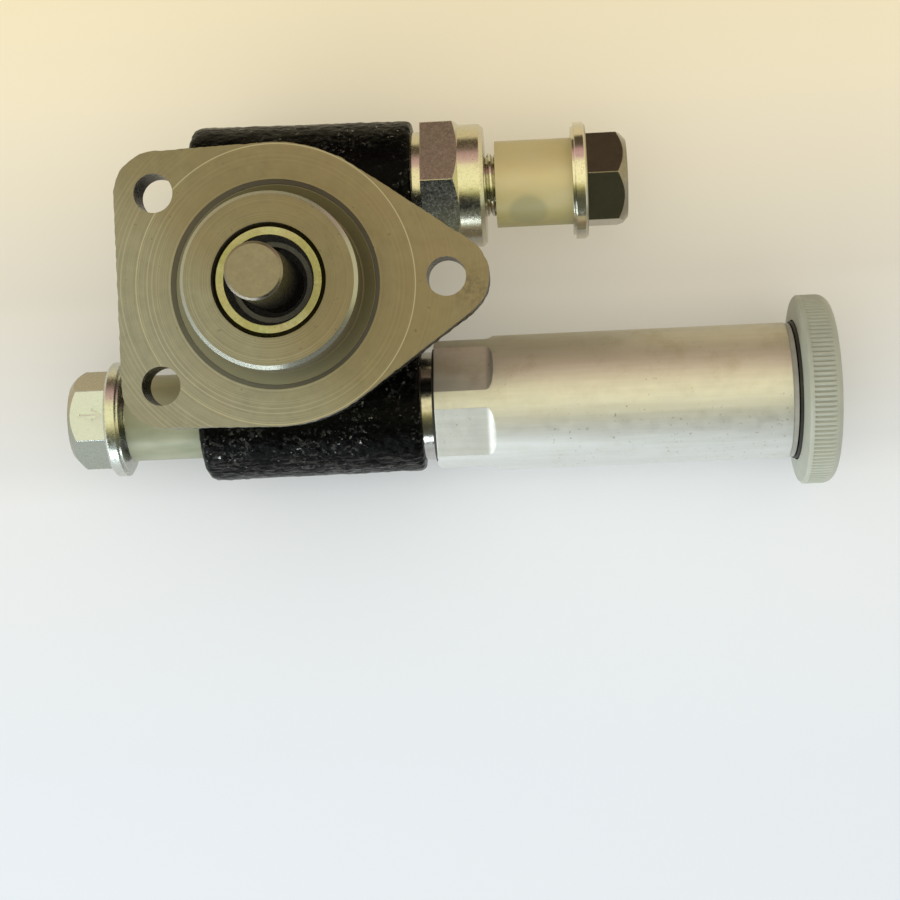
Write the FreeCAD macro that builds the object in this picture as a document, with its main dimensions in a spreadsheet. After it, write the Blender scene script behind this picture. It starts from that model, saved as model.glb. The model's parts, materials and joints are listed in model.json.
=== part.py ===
import FreeCAD, Part
import math
import os
import re

import Sketcher

# Diesel feed pump with a hand primer, in millimetres.
# The origin is the pilot axis on the mounting flange's face. +Z points out of the pilot towards
# the engine, +X towards the primer's knob and +Y towards the outlet.

doc = FreeCAD.newDocument("FeedPump")
sheet = doc.addObject("Spreadsheet::Sheet", "Sizes")

# Driving dimensions: each has its own cell and alias on the sheet.
SIZES = {
    # Mounting flange
    "flange_thick": 8.8,
    "disc_rad": 28.8,
    "nose_x": 34.7,
    "nose_rad": 8.7,
    "ear_x": 23.5,
    "ear_y": 19.4,
    "ear_rad": 8.8,
    "ear_hole_x": 24.15,
    "ear_hole_y": 19.6,
    "hole_rad": 4.0,

    # Pilot spigot
    "pilot_rad": 17.75,
    "pilot_height": 9.4,
    "pilot_chamfer": 0.8,
    "relief_rad": 21.3,
    "relief_depth": 1.0,

    # Housing casting
    "port_depth": 38.0,
    "outlet_y": 23.4,
    "inlet_y": 25.0,
    "barrel_left": 21.8,
    "barrel_right": 26.8,
    "outlet_rad_left": 15.7,
    "outlet_rad_right": 14.9,
    "inlet_rad_left": 14.7,
    "inlet_rad_right": 14.3,
    "rim_round": 2.2,
    "port_round": 1.2,
    "neck_rad": 17.0,
    "boss_depth": 52.0,
    "cast_fillet": 3.0,
    "neck_fillet": 3.0,
    "foot_round": 1.2,
    "spot_gap": 0.8,

    # Bores along the pump axis
    "seal_bore_rad": 11.45,
    "seal_bore_depth": 4.0,
    "bush_rad": 8.0,
    "bush_end": 20.0,
    "cylinder_rad": 11.0,
    "plug_thread_rad": 13.0,
    "plug_thread_len": 8.0,

    # Valve galleries
    "gallery_rad": 4.0,
    "chamber_rad": 7.5,
    "gallery_end": 6.0,
    "outlet_seat_x": 6.0,
    "inlet_seat_x": 7.0,
    "holder_thread_rad": 10.0,
    "holder_thread_len": 11.0,
    "primer_thread_len": 14.8,
    "bolt_thread_rad": 7.0,
    "bolt_thread_len": 12.3,
    "passage_x": 2.0,
    "passage_rad": 2.5,
    "passage_depth": 41.2,

    # Clearances
    "fit_gap": 0.05,
    "thread_gap": 0.1,
    "loose_gap": 0.3,
    "nose_gap": 0.08,
    "stem_gap": 0.4,
    "tip_gap": 0.2,

    # Rod seal
    "shell_rim_rad": 10.55,
    "shell_rim_in": 9.0,
    "shell_top": 0.5,
    "shell_rim_len": 1.6,
    "shell_depth": 9.0,
    "shell_wall": 1.0,
    "shell_lip": 0.5,
    "seal_lip_rad": 7.1,
    "seal_step": 3.4,
    "seal_lip_start": 1.5,
    "seal_lip_end": 2.5,
    "seal_lip_top": 3.0,

    # Push rod and piston
    "rod_rad": 5.6,
    "rod_reach": 28.2,
    "rod_chamfer": 0.5,
    "piston_len": 14.0,
    "piston_recess_rad": 8.6,
    "piston_recess": 9.0,
    "stop_gap": 0.3,

    # Rear plug
    "rear_gasket_thick": 1.2,
    "rear_collar_rad": 16.0,
    "rear_collar": 1.5,
    "rear_flats": 27.0,
    "rear_hex": 4.0,
    "rear_chamfer": 1.8,
    "rear_pocket_rad": 8.6,
    "rear_pocket": 10.0,

    # Piston spring
    "spring_rad": 7.2,
    "spring_wire": 0.75,
    "spring_turns": 5.0,

    # Check valves
    "seat_len": 3.0,
    "seat_bore_rad": 3.2,
    "valve_rad": 5.4,
    "valve_thick": 2.0,
    "valve_stem_rad": 1.4,
    "valve_stem": 5.0,
    "valve_spring_rad": 3.2,
    "valve_spring_wire": 0.3,
    "valve_spring_turns": 5.0,
    "valve_pocket_rad": 4.4,

    # Outlet holder
    "holder_washer_rad": 12.4,
    "holder_washer": 2.0,
    "holder_flats": 27.0,
    "holder_hex": 8.1,
    "holder_turn": 92.0,
    "holder_collar_rad": 13.5,
    "holder_collar": 5.5,
    "holder_rim": 0.9,
    "holder_chamfer": 1.08,
    "holder_bore_rad": 3.5,
    "holder_socket": 14.0,
    "holder_pocket": 3.0,

    # Banjo bolts
    "bolt_gap": 2.4,
    "spacer_rad": 9.5,
    "spacer_bore_rad": 7.4,
    "spacer_len": 16.8,
    "bolt_step_rad": 11.9,
    "bolt_step": 0.6,
    "bolt_collar_rad": 12.8,
    "bolt_collar": 2.6,
    "bolt_flats": 19.0,
    "bolt_hex": 8.8,
    "bolt_inset": 2.38,
    "bolt_crown": 2.2,
    "bolt_turn": 90.0,
    "inlet_bolt_turn": 55.0,
    "bolt_bore_rad": 3.6,
    "bolt_reach": 10.5,
    "cross_hole_rad": 3.4,
    "outlet_hole_turn": 50.0,
    "inlet_hole_turn": 90.0,
    "inlet_slack": 0.9,

    # Inlet strainer
    "strainer_rad": 3.3,
    "strainer_wall": 0.5,
    "strainer_rim_rad": 3.5,
    "strainer_rim": 1.2,
    "strainer_len": 22.0,

    # Primer barrel
    "ring_rad": 11.9,
    "ring_thick": 2.4,
    "seal_thick": 0.6,
    "primer_len": 76.6,
    "primer_rad": 14.9,
    "primer_bore_rad": 11.5,
    "primer_wall": 4.2,
    "primer_nose": 4.4,
    "primer_nose_rad": 6.9,
    "primer_port_rad": 3.0,
    "primer_flats": 27.5,
    "flats_len": 11.1,
    "primer_turn": 57.5,
    "ramp_rad": 2.0,

    # Primer cap
    "cap_rad": 14.7,
    "cap_rim": 1.1,
    "cap_len": 8.4,
    "cap_thread_rad": 9.0,
    "cap_floor": 2.0,

    # Primer piston
    "primer_rod_rad": 4.0,
    "primer_start": 2.0,
    "primer_piston_len": 11.0,
    "primer_seal_width": 3.0,
    "primer_seal_depth": 2.2,
    "rod_button_rad": 6.0,
    "rod_button": 3.0,

    # Knob
    "knob_rad": 20.75,
    "knob_recess_rad": 15.4,
    "knob_lip": 0.9,
    "knob_face_set": 0.6,
    "knob_recess": 1.8,
    "knob_thick": 7.8,
    "knob_round": 2.8,
    "knob_bevel": 0.45,
    "rib_start": 0.9,
    "rib_len": 4.7,
    "rib_depth": 0.4,
    "rib_width": 0.7,
    "rib_count": 120,
    "stud_len": 8.6,
    "knob_gasket_in": 10.0,
}
for row, (alias, number) in enumerate(SIZES.items(), start=1):
    sheet.set("A%d" % row, alias)
    sheet.set("B%d" % row, str(number))
    sheet.setAlias("B%d" % row, alias)
doc.recompute()
nodes = []

# How near an edge lies to the place it is looked for at.
NEAR = 0.05


def on_sheet(formula):
    """Turn the size names in a formula into references to the sheet's cells."""
    def refer(match):
        return "Sizes." + match.group(0) if match.group(0) in SIZES else match.group(0)
    return re.sub(r"[a-z][a-z_]*", refer, formula)


def size(alias):
    return float(sheet.get(alias))


def amount(formula):
    """What a formula comes to, in millimetres or degrees."""
    return float(sheet.evalExpression(on_sheet(formula)))


def bind(item, target, formula):
    item.setExpression(target, on_sheet(formula))


# Places along X that several pieces share, counted from the pump axis.
HOLDER_HEX = "barrel_right + holder_washer"
HOLDER_COLLAR = HOLDER_HEX + " + holder_hex"
HOLDER_END = HOLDER_COLLAR + " + holder_collar"
OUTLET_EYE = HOLDER_END + " + bolt_gap"
OUTLET_BOLT = OUTLET_EYE + " + spacer_len"
INLET_BOLT = "barrel_left + spacer_len + inlet_slack"
HOLDER_NOSE = "barrel_right - holder_thread_len + nose_gap"
PRIMER_START = "barrel_right + ring_thick + seal_thick"
PRIMER_END = PRIMER_START + " + primer_len"
PRIMER_STEM = "barrel_right - primer_thread_len + stem_gap"
PRIMER_NOSE = PRIMER_STEM + " - primer_nose"
CAP_FACE = PRIMER_END + " + cap_rim"
KNOB_FACE = CAP_FACE + " + knob_lip"
KNOB_FLOOR = KNOB_FACE + " + knob_recess"
PISTON_X = PRIMER_START + " + primer_wall + primer_start"

# Places along Z, counted down from the flange face.
PISTON_TOP = "bush_end + stop_gap"
PISTON_FOOT = PISTON_TOP + " + piston_len"
PLUG_FACE = "boss_depth + rear_gasket_thick"
PLUG_TIP = "boss_depth - plug_thread_len + tip_gap"
PLUG_END = PLUG_FACE + " + rear_collar + rear_hex"


def minus(formula):
    return "-(" + formula + ")"


class Piece:
    """A body whose sketches lie in planes shifted to the axis that it is turned about."""

    def __init__(self, name, y_formula="0", z_formula="0"):
        self.body = doc.addObject("PartDesign::Body", "Body_" + name)
        self.body.Label = name
        bind(self.body, "Placement.Base.y", y_formula)
        bind(self.body, "Placement.Base.z", z_formula)
        self.name = name
        self.count = 0
        nodes.append(self.body)

    def plane(self, role):
        """Find one of the body's own origin planes or axes by its role."""
        planes = [item for item in self.body.Origin.OriginFeatures if item.Role == role]
        return planes[0]

    def sketch(self, role, offset=None, turn=None):
        self.count += 1
        title = "%s_sketch_%d" % (self.name, self.count)
        sketch = self.body.newObject("Sketcher::SketchObject", title)
        sketch.AttachmentSupport = [(self.plane(role), "")]
        sketch.MapMode = "FlatFace"
        for axis, formula in (offset or {}).items():
            bind(sketch, "AttachmentOffset.Base." + axis, formula)
        if turn:
            sketch.AttachmentOffset = FreeCAD.Placement(
                FreeCAD.Vector(), FreeCAD.Rotation(FreeCAD.Vector(1, 0, 0), 1.0))
            bind(sketch, "AttachmentOffset.Rotation.Angle", turn)
        return sketch

    def feature(self, kind, sketch, **settings):
        self.count += 1
        title = "%s_%s_%d" % (self.name, kind.lower(), self.count)
        feature = self.body.newObject("PartDesign::" + kind, title)
        feature.Profile = sketch
        for key, setting in settings.items():
            if isinstance(setting, str) and key in ("Length", "Pitch", "Height", "Turns"):
                bind(feature, key, setting)
            else:
                setattr(feature, key, setting)
        sketch.Visibility = False
        return feature

    def revolve(self, points, along="x", cut=False, offset=None):
        """Turn an outline of (along the axis, radius) formula pairs about the axis."""
        sketch = self.sketch("XY_Plane" if along == "x" else "XZ_Plane", offset)
        if along == "z":
            points = [(radius, place) for place, radius in points]
        polygon(sketch, points)
        kind = "Groove" if cut else "Revolution"
        axis = "H_Axis" if along == "x" else "V_Axis"
        return self.feature(kind, sketch, ReferenceAxis=(sketch, [axis]), Angle=360.0)

    def hexagon(self, start, length, flats, turn):
        """Cut six flats on a stretch that begins at start and runs towards +X."""
        sketch = self.sketch("YZ_Plane", {"z": start})
        ring(sketch, "2 * " + flats)
        corners = [("%s / sqrt(3) * cos(%s + %d)" % (flats, turn, angle),
                    "%s / sqrt(3) * sin(%s + %d)" % (flats, turn, angle))
                   for angle in range(0, 360, 60)]
        polygon(sketch, corners)
        return self.feature("Pocket", sketch, Length=length, Reversed=True)

    def cross_hole(self, place, radius, reach, turn):
        """Drill through the axis at a place along X, with the drill turned from +Z by an angle."""
        sketch = self.sketch("XY_Plane", turn=turn)
        ring(sketch, radius, place)
        return self.feature("Pocket", sketch, Length=reach, Midplane=True)

    def repeat(self, feature, count):
        """Repeat a cut evenly round the X axis of its own sketch."""
        self.count += 1
        pattern = self.body.newObject("PartDesign::PolarPattern",
                                      "%s_pattern_%d" % (self.name, self.count))
        pattern.Originals = [feature]
        pattern.Axis = (self.plane("X_Axis"), [""])
        pattern.Angle = 360.0
        bind(pattern, "Occurrences", count)
        self.body.Tip = pattern
        return pattern

    def dress(self, kind, formula, choose):
        """Round or bevel the edges that the test picks from the shape made so far."""
        doc.recompute()
        base = self.body.Tip
        edges = ["Edge%d" % number
                 for number, edge in enumerate(base.Shape.Edges, start=1) if choose(edge)]
        if not edges:
            raise ValueError("no edge found for %s on %s" % (kind, self.name))
        self.count += 1
        feature = self.body.newObject("PartDesign::" + kind, "%s_%s_%d"
                                      % (self.name, kind.lower(), self.count))
        feature.Base = (base, edges)
        bind(feature, "Radius" if kind == "Fillet" else "Size", formula)
        return feature


def fix(sketch, kind, formula, *places):
    """Add one dimension to a sketch and bind it to the sheet."""
    number = sketch.addConstraint(Sketcher.Constraint(kind, *places, amount(formula)))
    bind(sketch, "Constraints[%d]" % number, formula)


def pin_point(sketch, item, point, x_formula, y_formula):
    fix(sketch, "DistanceX", x_formula, item, point)
    fix(sketch, "DistanceY", y_formula, item, point)


def polygon(sketch, points):
    """Draw a closed outline of straight lines through points given as formula pairs."""
    count = len(points)
    rough = [FreeCAD.Vector(math.cos(math.tau * n / count), math.sin(math.tau * n / count), 0)
             for n in range(count)]
    first = sketch.GeometryCount
    for n in range(count):
        sketch.addGeometry(Part.LineSegment(rough[n], rough[(n + 1) % count]))
    for n in range(count):
        follower = first + (n + 1) % count
        sketch.addConstraint(Sketcher.Constraint("Coincident", first + n, 2, follower, 1))
    for n, (x_formula, y_formula) in enumerate(points):
        pin_point(sketch, first + n, 1, x_formula, y_formula)


def ring(sketch, radius, x_formula="0", y_formula="0"):
    circle = sketch.addGeometry(Part.Circle(FreeCAD.Vector(0, 0, 0), FreeCAD.Vector(0, 0, 1), 1))
    pin_point(sketch, circle, 3, x_formula, y_formula)
    fix(sketch, "Radius", radius, circle)


def run_out(sketch, start, stop, level, radius):
    """Draw what a cutter removes above a level: flat from start to stop, then up along an arc."""
    round_off = amount(radius)
    left, turn_in, floor = amount(start), amount(stop), amount(level)
    right = turn_in + round_off
    middle = floor + round_off
    roof = middle + round_off
    corners = ((left, floor), (turn_in, floor)), ((right, middle), (right, roof)), \
        ((right, roof), (left, roof)), ((left, roof), (left, floor))
    lines = [sketch.addGeometry(Part.LineSegment(FreeCAD.Vector(*a, 0), FreeCAD.Vector(*b, 0)))
             for a, b in corners]
    whole = Part.Circle(FreeCAD.Vector(turn_in, middle, 0), FreeCAD.Vector(0, 0, 1), round_off)
    arc = sketch.addGeometry(Part.ArcOfCircle(whole, -math.pi / 2, 0))
    bottom, rise, top, back = lines
    for first, end, second, begin in ((bottom, 2, arc, 1), (arc, 2, rise, 1)):
        sketch.addConstraint(Sketcher.Constraint("Tangent", first, end, second, begin))
    for first, second in ((rise, top), (top, back), (back, bottom)):
        sketch.addConstraint(Sketcher.Constraint("Coincident", first, 2, second, 1))
    for kind, line in (("Horizontal", bottom), ("Vertical", rise), ("Horizontal", top), ("Vertical", back)):
        sketch.addConstraint(Sketcher.Constraint(kind, line))
    pin_point(sketch, bottom, 1, start, level)
    fix(sketch, "DistanceX", stop, arc, 3)
    fix(sketch, "Radius", radius, arc)
    fix(sketch, "DistanceY", "%s + 2 * %s" % (level, radius), top, 2)


def rounded_hull(sketch, circles):
    """Draw the belt outline round circles given as (x, y, radius) formulas."""
    count = len(circles)
    numbers = [tuple(amount(formula) for formula in circle) for circle in circles]
    tangents = []
    for n in range(count):
        x1, y1, r1 = numbers[n]
        x2, y2, r2 = numbers[(n + 1) % count]
        heading = math.atan2(y2 - y1, x2 - x1)
        normal = heading - math.acos((r1 - r2) / math.hypot(x2 - x1, y2 - y1))
        out = FreeCAD.Vector(math.cos(normal), math.sin(normal), 0)
        tangents.append((FreeCAD.Vector(x1, y1, 0) + out * r1, FreeCAD.Vector(x2, y2, 0) + out * r2))
    for n in range(count):
        x, y, r = numbers[n]
        arrive = tangents[n - 1][1]
        leave = tangents[n][0]
        start = math.atan2(arrive.y - y, arrive.x - x)
        stop = math.atan2(leave.y - y, leave.x - x)
        whole = Part.Circle(FreeCAD.Vector(x, y, 0), FreeCAD.Vector(0, 0, 1), r)
        sketch.addGeometry(Part.ArcOfCircle(whole, start, stop))
        sketch.addGeometry(Part.LineSegment(*tangents[n]))
    for n in range(count):
        arc = 2 * n
        line = arc + 1
        next_arc = (arc + 2) % (2 * count)
        sketch.addConstraint(Sketcher.Constraint("Tangent", arc, 2, line, 1))
        sketch.addConstraint(Sketcher.Constraint("Tangent", line, 2, next_arc, 1))
    for n, (x_formula, y_formula, r_formula) in enumerate(circles):
        pin_point(sketch, 2 * n, 3, x_formula, y_formula)
        fix(sketch, "Radius", r_formula, 2 * n)


def on_outlet(name):
    return Piece(name, "outlet_y", "-port_depth")


def on_inlet(name):
    return Piece(name, "-inlet_y", "-port_depth")


# Housing casting with its machined flange, pilot and bores.

def make_housing():
    piece = Piece("housing")
    outline = piece.sketch("XY_Plane")
    disc = "0", "0", "disc_rad"
    nose = "nose_x", "0", "nose_rad"
    upper = "-ear_x", "ear_y", "ear_rad"
    lower = "-ear_x", "-ear_y", "ear_rad"
    rounded_hull(outline, [nose, disc, upper, lower, disc])
    piece.feature("Pad", outline, Length="flange_thick", Reversed=True)

    spigot = piece.sketch("XY_Plane")
    ring(spigot, "pilot_rad")
    piece.feature("Pad", spigot, Length="pilot_height")

    column = piece.sketch("XY_Plane")
    ring(column, "neck_rad")
    piece.feature("Pad", column, Length="boss_depth + 2 * cast_fillet", Reversed=True)

    for level, left, right in (("outlet_y", "outlet_rad_left", "outlet_rad_right"),
                               ("-inlet_y", "inlet_rad_left", "inlet_rad_right")):
        piece.revolve([("-barrel_left", "0"), ("barrel_right", "0"),
                       ("barrel_right", right), ("-barrel_left", left)],
                      offset={"y": level, "z": "-port_depth"})
    left = -size("barrel_left")
    right = size("barrel_right")
    foot = -size("flange_thick")
    neck = size("neck_rad")

    def saddle(edge):
        return "BSpline" in edge.Curve.TypeId and edge.BoundBox.ZMax < foot

    def left_rim(edge):
        return edge.BoundBox.XMax < left + NEAR and edge.BoundBox.ZMax < foot

    def right_rim(edge):
        return edge.BoundBox.XMin > right - NEAR and edge.BoundBox.ZMax < foot

    def neck_root(edge):
        return "Circle" in edge.Curve.TypeId and abs(edge.Curve.Radius - neck) < NEAR \
            and abs(edge.BoundBox.ZMin - foot) < NEAR

    def foot_edge(edge):
        box = edge.BoundBox
        return abs(box.ZMin - foot) < NEAR and box.ZLength < NEAR and not neck_root(edge)

    piece.dress("Fillet", "cast_fillet", saddle)
    piece.dress("Fillet", "rim_round", left_rim)
    piece.dress("Fillet", "port_round", right_rim)
    piece.dress("Fillet", "foot_round", foot_edge)
    piece.dress("Fillet", "neck_fillet", neck_root)

    piece.revolve([("pilot_height", "0"), ("pilot_height", "seal_bore_rad"),
                   ("-seal_bore_depth", "seal_bore_rad"), ("-seal_bore_depth", "bush_rad"),
                   ("-bush_end", "bush_rad"), ("-bush_end", "cylinder_rad"),
                   ("-boss_depth + plug_thread_len", "cylinder_rad"),
                   ("-boss_depth + plug_thread_len", "plug_thread_rad"),
                   ("-boss_depth", "plug_thread_rad"), ("-boss_depth", "0")], along="z", cut=True)
    piece.revolve([("-boss_depth", "0"), ("-boss_depth", "neck_rad + spot_gap"),
                   (minus(PLUG_END + " + 2 * cast_fillet"), "neck_rad + spot_gap"),
                   (minus(PLUG_END + " + 2 * cast_fillet"), "0")], along="z", cut=True)
    piece.revolve([("0", "pilot_rad"), ("0", "relief_rad"), ("-relief_depth", "relief_rad - relief_depth"),
                   ("-relief_depth", "pilot_rad")], along="z", cut=True)

    piece.revolve([("barrel_right", "0"), ("barrel_right", "holder_thread_rad"),
                   ("barrel_right - holder_thread_len", "holder_thread_rad"),
                   ("barrel_right - holder_thread_len", "chamber_rad"),
                   ("outlet_seat_x", "chamber_rad"), ("outlet_seat_x", "gallery_rad"),
                   ("-gallery_end", "gallery_rad"), ("-gallery_end", "0")],
                  cut=True, offset={"y": "outlet_y", "z": "-port_depth"})
    piece.revolve([("barrel_right", "0"), ("barrel_right", "holder_thread_rad"),
                   ("barrel_right - primer_thread_len", "holder_thread_rad"),
                   ("barrel_right - primer_thread_len", "chamber_rad"),
                   ("-inlet_seat_x", "chamber_rad"), ("-inlet_seat_x", "gallery_rad"),
                   ("-barrel_left + bolt_thread_len", "gallery_rad"),
                   ("-barrel_left + bolt_thread_len", "bolt_thread_rad"),
                   ("-barrel_left", "bolt_thread_rad"), ("-barrel_left", "0")],
                  cut=True, offset={"y": "-inlet_y", "z": "-port_depth"})

    passage = piece.sketch("XZ_Plane", {"z": "-outlet_y"})
    ring(passage, "passage_rad", "passage_x", "-passage_depth")
    piece.feature("Pocket", passage, Length="outlet_y + inlet_y", Reversed=True)

    holes = piece.sketch("XY_Plane")
    ring(holes, "hole_rad", "nose_x", "0")
    ring(holes, "hole_rad", "-ear_hole_x", "ear_hole_y")
    ring(holes, "hole_rad", "-ear_hole_x", "-ear_hole_y")
    piece.feature("Pocket", holes, Length="flange_thick")

    crest = size("pilot_height")
    rim = 2 * size("pilot_rad")

    def pilot_edge(edge):
        return edge.BoundBox.ZMin > crest - NEAR and edge.BoundBox.XLength > rim - NEAR

    piece.dress("Chamfer", "pilot_chamfer", pilot_edge)
    return piece


# Seal and guide of the push rod.

def make_rod_parts():
    shell = Piece("seal_shell")
    top = "pilot_height - shell_top"
    shoulder = top + " - shell_rim_len"
    foot = "pilot_height - shell_depth"
    outer = "seal_bore_rad - fit_gap"
    shell.revolve([(top, "shell_rim_in"), (top, "shell_rim_rad"), (shoulder, "shell_rim_rad"),
                   (shoulder + " - shell_wall", outer), (foot, outer),
                   (foot, outer + " - shell_wall"), (shoulder + " - shell_wall", outer + " - shell_wall"),
                   (shoulder + " - shell_lip", "shell_rim_in")], along="z")

    seal = Piece("rod_seal")
    inside = outer + " - shell_wall"
    seal.revolve([(shoulder + " - shell_wall", "shell_rim_in"), (shoulder + " - shell_wall", inside),
                  ("-seal_bore_depth", inside), ("-seal_bore_depth", "rod_rad + loose_gap"),
                  ("-seal_bore_depth + seal_lip_start", "rod_rad + fit_gap"),
                  ("-seal_bore_depth + seal_lip_end", "rod_rad + fit_gap"),
                  ("-seal_bore_depth + seal_lip_top", "seal_lip_rad"),
                  (shoulder + " - seal_step", "seal_lip_rad"),
                  (shoulder + " - seal_step", "seal_lip_rad + shell_wall")], along="z")

    bush = Piece("guide_bush")
    bush.revolve([("-seal_bore_depth", "rod_rad + fit_gap"), ("-seal_bore_depth", "bush_rad"),
                  ("-bush_end", "bush_rad"), ("-bush_end", "rod_rad + fit_gap")], along="z")


def make_plunger():
    rod = Piece("push_rod")
    rod.revolve([("rod_reach", "0"), ("rod_reach", "rod_rad - rod_chamfer"),
                 ("rod_reach - rod_chamfer", "rod_rad"), (minus(PISTON_TOP), "rod_rad"),
                 (minus(PISTON_TOP), "0")], along="z")
    piston = Piece("piston")
    recess = minus(PISTON_FOOT) + " + piston_recess"
    outer = "cylinder_rad - fit_gap"
    piston.revolve([(minus(PISTON_TOP), "0"), (minus(PISTON_TOP), outer),
                    (minus(PISTON_FOOT), outer), (minus(PISTON_FOOT), "piston_recess_rad"),
                    (recess, "piston_recess_rad"), (recess, "0")], along="z")


def coil(name, y_formula, z_formula, along, start, stop, radius, wire, turns):
    """Wind a round wire from start to stop along the axis, clear of the two seats."""
    piece = Piece(name, y_formula, z_formula)
    sketch = piece.sketch("XY_Plane" if along == "x" else "XZ_Plane")
    first = "%s + %s + fit_gap" % (start, wire)
    if along == "x":
        ring(sketch, wire, first, radius)
    else:
        ring(sketch, wire, radius, first)
    axis = "H_Axis" if along == "x" else "V_Axis"
    rise = "%s - (%s) - 2 * %s - 2 * fit_gap" % (stop, start, wire)
    piece.feature("AdditiveHelix", sketch, ReferenceAxis=(sketch, [axis]), Mode=2,
                  Height=rise, Turns=turns, Pitch=1.0, Angle=0.0, Growth=0.0)
    return piece


def make_rear_plug():
    gasket = Piece("rear_gasket")
    gasket.revolve([("-boss_depth", "plug_thread_rad"), ("-boss_depth", "rear_collar_rad"),
                    (minus(PLUG_FACE), "rear_collar_rad"), (minus(PLUG_FACE), "plug_thread_rad")],
                   along="z")
    plug = Piece("rear_plug")
    thread = "plug_thread_rad - thread_gap"
    hex_face = minus(PLUG_FACE) + " - rear_collar"
    end = hex_face + " - rear_hex"
    pocket = minus(PLUG_TIP) + " - rear_pocket"
    corner = "rear_flats / sqrt(3)"
    plug.revolve([(minus(PLUG_TIP), "rear_pocket_rad"), (minus(PLUG_TIP), thread),
                  (minus(PLUG_FACE), thread), (minus(PLUG_FACE), "rear_collar_rad"),
                  (hex_face, "rear_collar_rad"), (hex_face, corner), (end + " + rear_chamfer", corner),
                  (end, "rear_flats / 2"), (end, "0"), (pocket, "0"), (pocket, "rear_pocket_rad")],
                 along="z")
    flats = plug.sketch("XY_Plane", {"z": hex_face})
    ring(flats, "2 * rear_flats")
    polygon(flats, [("%s * cos(%d)" % (corner, angle), "%s * sin(%d)" % (corner, angle))
                    for angle in range(0, 360, 60)])
    plug.feature("Pocket", flats, Length="rear_hex")


# Check valves: a seat pressed in its chamber, a plate with a stem, and a light spring.

def make_valve(side, place, seat_face):
    seat = place(side + "_valve_seat")
    seat.revolve([(seat_face, "seat_bore_rad"), (seat_face + " + seat_len", "seat_bore_rad"),
                  (seat_face + " + seat_len", "chamber_rad"), (seat_face, "chamber_rad")])
    valve = place(side + "_valve")
    shut = seat_face + " + seat_len"
    back = shut + " + valve_thick"
    valve.revolve([(shut, "0"), (shut, "valve_rad"), (back, "valve_rad"),
                   (back, "valve_stem_rad"), (back + " + valve_stem", "valve_stem_rad"),
                   (back + " + valve_stem", "0")])
    return back


def make_valves():
    outlet_back = make_valve("outlet", on_outlet, "outlet_seat_x")
    coil("outlet_valve_spring", "outlet_y", "-port_depth", "x", outlet_back,
         HOLDER_NOSE + " + holder_pocket", "valve_spring_rad", "valve_spring_wire",
         "valve_spring_turns")
    inlet_back = make_valve("inlet", on_inlet, "-inlet_seat_x")
    coil("inlet_valve_spring", "-inlet_y", "-port_depth", "x", inlet_back,
         PRIMER_NOSE + " + holder_pocket", "valve_spring_rad", "valve_spring_wire",
         "valve_spring_turns")


# Outlet side: washer, holder, spacer and hollow bolt.

def make_outlet():
    washer = on_outlet("outlet_washer")
    washer.revolve([("barrel_right", "holder_thread_rad"), ("barrel_right", "holder_washer_rad"),
                    (HOLDER_HEX, "holder_washer_rad"), (HOLDER_HEX, "holder_thread_rad")])

    holder = on_outlet("outlet_holder")
    thread = "holder_thread_rad - thread_gap"
    corner = "holder_flats / sqrt(3)"
    holder.revolve([(HOLDER_NOSE, "valve_pocket_rad"), (HOLDER_NOSE, thread), (HOLDER_HEX, thread),
                    (HOLDER_HEX, corner), (HOLDER_COLLAR + " - holder_chamfer", corner),
                    (HOLDER_COLLAR, "holder_collar_rad"),
                    (HOLDER_END + " - holder_rim", "holder_collar_rad"),
                    (HOLDER_END, "holder_collar_rad - holder_rim"),
                    (HOLDER_END, "bolt_thread_rad"),
                    (HOLDER_END + " - holder_socket", "bolt_thread_rad"),
                    (HOLDER_END + " - holder_socket", "holder_bore_rad"),
                    (HOLDER_NOSE + " + holder_pocket", "holder_bore_rad"),
                    (HOLDER_NOSE + " + holder_pocket", "valve_pocket_rad")])
    holder.hexagon(HOLDER_HEX, "holder_hex", "holder_flats", "holder_turn")

    spacer(on_outlet("outlet_spacer"), OUTLET_EYE)
    hollow_bolt(on_outlet("outlet_bolt"), OUTLET_BOLT, "bolt_turn", 1,
                OUTLET_BOLT + " - (" + HOLDER_END + ") + bolt_reach", "outlet_hole_turn")


def spacer(piece, start):
    piece.revolve([(start, "spacer_bore_rad"), (start + " + spacer_len", "spacer_bore_rad"),
                   (start + " + spacer_len", "spacer_rad"), (start, "spacer_rad")])


def hollow_bolt(piece, seat, turn, way, shank, hole_turn):
    """A banjo bolt whose head begins at seat and points along +X (way 1) or -X (way -1)."""
    sign = "" if way > 0 else "-1 * "

    def at(formula):
        return "%s(%s + %s)" % (sign, seat, formula)

    thread = "bolt_thread_rad - thread_gap"
    head = "bolt_step + bolt_collar"
    end = head + " + bolt_hex"
    corner = "bolt_flats / sqrt(3)"
    tip = "%s(%s - (%s))" % (sign, seat, shank)
    piece.revolve([(tip, "bolt_bore_rad"), (tip, thread), (at("0"), thread),
                   (at("0"), "bolt_step_rad"), (at("bolt_step"), "bolt_step_rad"),
                   (at("bolt_step"), "bolt_collar_rad"),
                   (at(head + " - bolt_step"), "bolt_collar_rad"),
                   (at(head), "bolt_collar_rad - bolt_step"), (at(head), corner),
                   (at(end + " - bolt_crown"), corner),
                   (at(end), corner + " - bolt_inset"),
                   (at(end), "0"), (at("-bolt_step"), "0"), (at("-bolt_step"), "bolt_bore_rad")])
    start = seat + " + " + head if way > 0 else minus(seat + " + " + end)
    piece.hexagon(start, "bolt_hex", "bolt_flats", turn)
    middle = at("-0.5 * spacer_len")
    piece.cross_hole(middle, "cross_hole_rad", "2 * bolt_collar_rad", hole_turn)


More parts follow.
